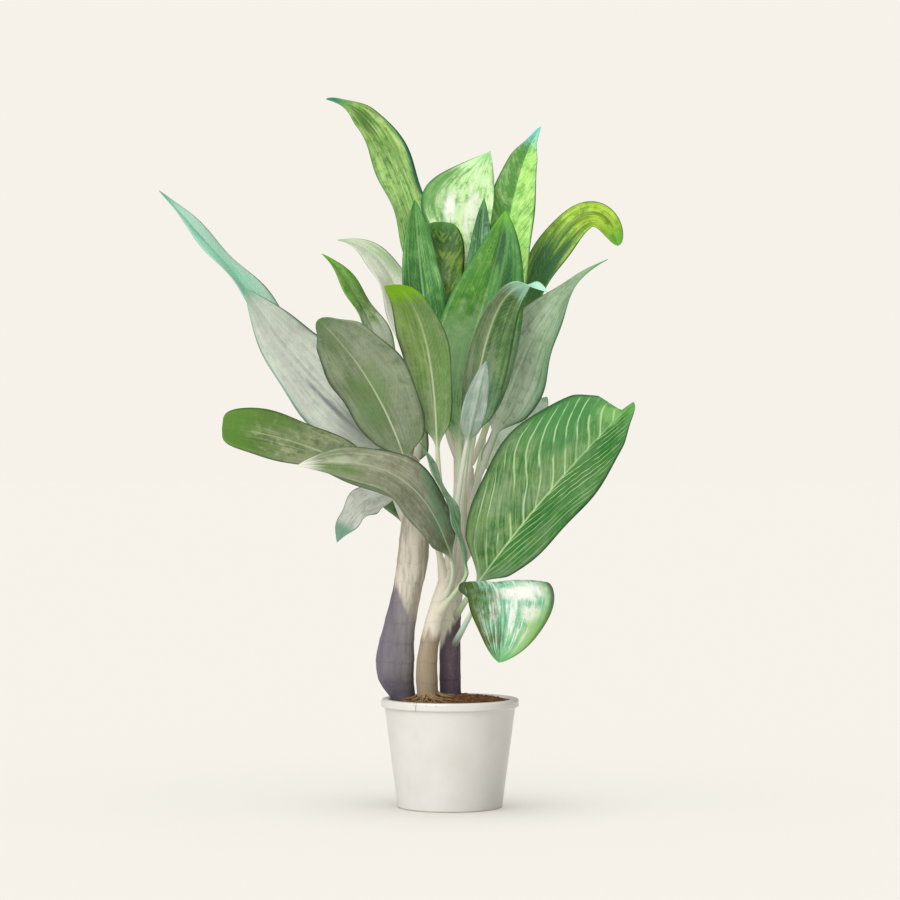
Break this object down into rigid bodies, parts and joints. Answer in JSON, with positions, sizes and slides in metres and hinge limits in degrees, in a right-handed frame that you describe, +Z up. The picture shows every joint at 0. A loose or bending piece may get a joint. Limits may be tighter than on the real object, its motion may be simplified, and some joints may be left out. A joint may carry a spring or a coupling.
{
  "type": "potted dieffenbachia",
  "caption": "Free-standing house plant: ringed canes with broad pointed leaves on long petioles, rooted in soil in a tapered glazed pot.",
  "frame": {"origin": "centre of the pot's flat base, on the surface that the pot stands on", "axes": "+Z up along the pot's axis; the plant's front, as pictured, faces -Y; +X is to the right seen from the front"},
  "size_m": [0.6222, 0.4157, 0.9308],
  "materials": {
    "glaze": "satin",
    "potting_soil": "matte",
    "dark_bark": "matte",
    "pale_bark": "matte",
    "leaf_lime": "satin",
    "leaf_green": "satin",
    "leaf_olive": "satin",
    "leaf_dark": "satin",
    "leaf_silver": "satin",
    "leaf_mint": "satin"
  },
  "bodies": {
    "root": {"pot": "glaze", "soil": "potting_soil", "cane_left": "dark_bark", "cane_middle": "pale_bark", "cane_right": "dark_bark", "leaf_top_left": "leaf_lime", "leaf_under_top_left": "leaf_dark", "leaf_top_centre": "leaf_lime", "leaf_under_top_centre": "leaf_dark", "leaf_top_right": "leaf_lime", "leaf_arching_right": "leaf_lime", "leaf_centre_tall": "leaf_green", "leaf_centre_left": "leaf_olive", "leaf_centre_right": "leaf_olive", "leaf_behind_tall": "leaf_dark", "leaf_pale_centre": "leaf_silver", "leaf_grey_right": "leaf_silver", "leaf_behind_big": "leaf_silver", "leaf_big_right": "leaf_dark", "leaf_drooping_right": "leaf_mint", "leaf_far_left": "leaf_mint", "leaf_silver_left": "leaf_silver", "leaf_olive_left": "leaf_olive", "leaf_edge_left": "leaf_green", "leaf_ghost_left": "leaf_silver", "leaf_long_left": "leaf_olive", "leaf_brown_left": "leaf_olive", "leaf_narrow_left": "leaf_dark", "leaf_drooping_left": "leaf_silver", "leaf_back_high": "leaf_lime", "leaf_back_middle": "leaf_green", "leaf_back_left": "leaf_olive", "leaf_back_right": "leaf_dark", "leaf_back_low": "leaf_dark"}
  },
  "joints": []
}
